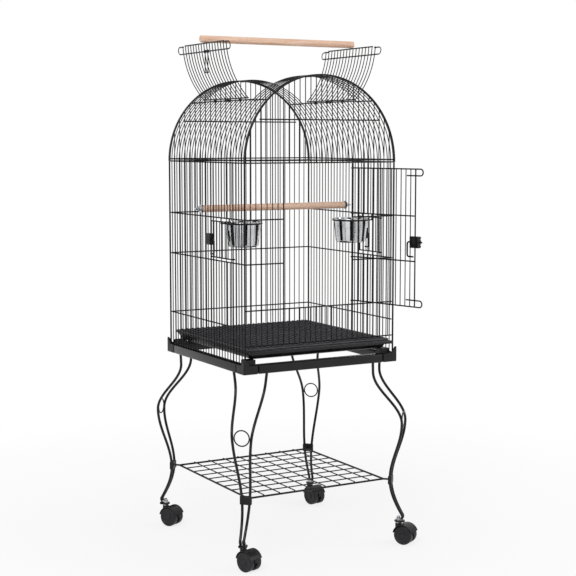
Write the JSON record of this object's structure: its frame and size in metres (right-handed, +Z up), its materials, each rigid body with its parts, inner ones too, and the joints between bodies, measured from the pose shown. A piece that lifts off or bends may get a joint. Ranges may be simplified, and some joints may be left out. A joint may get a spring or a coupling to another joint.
{
  "type": "dome top bird cage",
  "caption": "Square wire bird cage with a barrel dome, opening roof flaps, doors, cups, perches and a slide-out tray on a wheeled stand with curved legs and a shelf.",
  "frame": {"origin": "on the floor under the middle of the cage", "axes": "+Z up, -Y out of the front with the main door, +X to the right"},
  "size_m": [0.5264, 0.6903, 1.3091],
  "materials": {
    "black_wire": "gloss powder coat",
    "black_tube": "gloss powder coat",
    "black_plastic": "moulded",
    "wheel_plastic": "moulded",
    "tray_plastic": "moulded, satin",
    "zinc_steel": "zinc plated",
    "stainless": "spun, bright",
    "perch_wood": "sanded, bare"
  },
  "bodies": {
    "cage": {"stand_rails": "black_tube", "corner_caps": "black_plastic", "leg_front_left": "black_tube", "leg_front_right": "black_tube", "leg_back_right": "black_tube", "leg_back_left": "black_tube", "leg_rings": "black_tube", "leg_bands": "black_plastic", "foot_plates": "black_tube", "shelf": "black_wire", "caster_stems": "zinc_steel", "corner_posts": "black_wire", "front_left_grille": "black_wire", "front_right_grille": "black_wire", "front_lower_grille": "black_wire", "front_arch": "black_wire", "back_grille": "black_wire", "left_wall_back": "black_wire", "left_wall_front": "black_wire", "left_wall_upper": "black_wire", "left_wall_lower": "black_wire", "right_wall_back": "black_wire", "right_wall_front": "black_wire", "right_wall_upper": "black_wire", "right_wall_lower": "black_wire", "front_band": "black_wire", "back_band": "black_wire", "left_vault": "black_wire", "right_vault": "black_wire", "inner_perch": "perch_wood", "perch_bolts": "zinc_steel", "left_cup_holder": "black_wire", "right_cup_holder": "black_wire", "left_cup": "stainless", "right_cup": "stainless"},
    "left_flap": {"left_flap": "black_wire"},
    "right_flap": {"right_flap": "black_wire"},
    "flap_hook": {"flap_hook": "black_wire"},
    "top_perch": {"top_perch": "perch_wood"},
    "main_door": {"main_door": "black_wire", "main_door_latch": "black_plastic"},
    "main_door_bolt": {"main_door_bolt": "black_wire"},
    "left_feeder_door": {"left_feeder_door": "black_wire", "left_feeder_latch": "black_plastic"},
    "left_feeder_bolt": {"left_feeder_bolt": "black_wire"},
    "right_feeder_door": {"right_feeder_door": "black_wire", "right_feeder_latch": "black_plastic"},
    "right_feeder_bolt": {"right_feeder_bolt": "black_wire"},
    "tray": {"tray": "tray_plastic"},
    "grate": {"grate": "black_wire"},
    "caster_hood_front_left": {"caster_hood_front_left": "black_plastic"},
    "caster_wheels_front_left": {"caster_wheels_front_left": "wheel_plastic"},
    "caster_hood_front_right": {"caster_hood_front_right": "black_plastic"},
    "caster_wheels_front_right": {"caster_wheels_front_right": "wheel_plastic"},
    "caster_hood_back_right": {"caster_hood_back_right": "black_plastic"},
    "caster_wheels_back_right": {"caster_wheels_back_right": "wheel_plastic"},
    "caster_hood_back_left": {"caster_hood_back_left": "black_plastic"},
    "caster_wheels_back_left": {"caster_wheels_back_left": "wheel_plastic"}
  },
  "joints": [
    {"name": "left_flap_hinge", "type": "hinge", "parent": "cage", "child": "left_flap", "pos_m": [-0.14935, 0, 1.14766], "axis": [0, 1, 0], "range_deg": [0, 92]},
    {"name": "right_flap_hinge", "type": "hinge", "parent": "cage", "child": "right_flap", "pos_m": [0.14935, 0, 1.14766], "axis": [0, -1, 0], "range_deg": [0, 92]},
    {"name": "top_perch_lift", "type": "slide", "parent": "cage", "child": "top_perch", "axis": [0, 0, 1], "range_m": [0, 0.17]},
    {"name": "flap_hook_swing", "type": "hinge", "parent": "left_flap", "child": "flap_hook", "pos_m": [-0.21627, 0, 1.26856], "axis": [0, 1, 0], "range_deg": [0, 70]},
    {"name": "main_door_hinge", "type": "hinge", "parent": "cage", "child": "main_door", "pos_m": [0.09214, -0.215, 0.8], "axis": [0, 0, 1], "range_deg": [-105, 45]},
    {"name": "main_door_bolt_slide", "type": "slide", "parent": "main_door", "child": "main_door_bolt", "axis": [-0.2588, 0.9659, 0], "range_m": [0, 0.01]},
    {"name": "left_feeder_hinge", "type": "hinge", "parent": "cage", "child": "left_feeder_door", "pos_m": [-0.215, -0.15357, 0.8], "axis": [0, 0, 1], "range_deg": [0, 110]},
    {"name": "left_feeder_bolt_slide", "type": "slide", "parent": "left_feeder_door", "child": "left_feeder_bolt", "axis": [0, -1, 0], "range_m": [0, 0.01]},
    {"name": "right_feeder_hinge", "type": "hinge", "parent": "cage", "child": "right_feeder_door", "pos_m": [0.215, -0.15357, 0.8], "axis": [0, 0, -1], "range_deg": [0, 110]},
    {"name": "right_feeder_bolt_slide", "type": "slide", "parent": "right_feeder_door", "child": "right_feeder_bolt", "axis": [0, -1, 0], "range_m": [0, 0.01]},
    {"name": "tray_slide", "type": "slide", "parent": "cage", "child": "tray", "axis": [0, -1, 0], "range_m": [0, 0.4]},
    {"name": "grate_slide", "type": "slide", "parent": "cage", "child": "grate", "axis": [0, -1, 0], "range_m": [0, 0.4]},
    {"name": "caster_swivel_front_left", "type": "hinge", "parent": "cage", "child": "caster_hood_front_left", "pos_m": [-0.22914, -0.22914, 0.046], "axis": [0, 0, 1], "continuous": true},
    {"name": "caster_roll_front_left", "type": "hinge", "parent": "caster_hood_front_left", "child": "caster_wheels_front_left", "pos_m": [-0.22363, -0.24837, 0.025], "axis": [0.9613, 0.2756, 0], "continuous": true},
    {"name": "caster_swivel_front_right", "type": "hinge", "parent": "cage", "child": "caster_hood_front_right", "pos_m": [0.22914, -0.22914, 0.046], "axis": [0, 0, 1], "continuous": true},
    {"name": "caster_roll_front_right", "type": "hinge", "parent": "caster_hood_front_right", "child": "caster_wheels_front_right", "pos_m": [0.23914, -0.24646, 0.025], "axis": [0.866, 0.5, 0], "continuous": true},
    {"name": "caster_swivel_back_right", "type": "hinge", "parent": "cage", "child": "caster_hood_back_right", "pos_m": [0.22914, 0.22914, 0.046], "axis": [0, 0, 1], "continuous": true},
    {"name": "caster_roll_back_right", "type": "hinge", "parent": "caster_hood_back_right", "child": "caster_wheels_back_right", "pos_m": [0.23261, 0.20945, 0.025], "axis": [0.9848, 0.1736, 0], "continuous": true},
    {"name": "caster_swivel_back_left", "type": "hinge", "parent": "cage", "child": "caster_hood_back_left", "pos_m": [-0.22914, 0.22914, 0.046], "axis": [0, 0, 1], "continuous": true},
    {"name": "caster_roll_back_left", "type": "hinge", "parent": "caster_hood_back_left", "child": "caster_wheels_back_left", "pos_m": [-0.21975, 0.21148, 0.025], "axis": [0.8829, 0.4695, 0], "continuous": true}
  ],
  "couplings": [
    {"joint": "right_flap_hinge", "follows": "left_flap_hinge", "ratio": 1},
    {"joint": "top_perch_lift", "follows": "left_flap_hinge", "m_per_rad": 0.1}
  ]
}
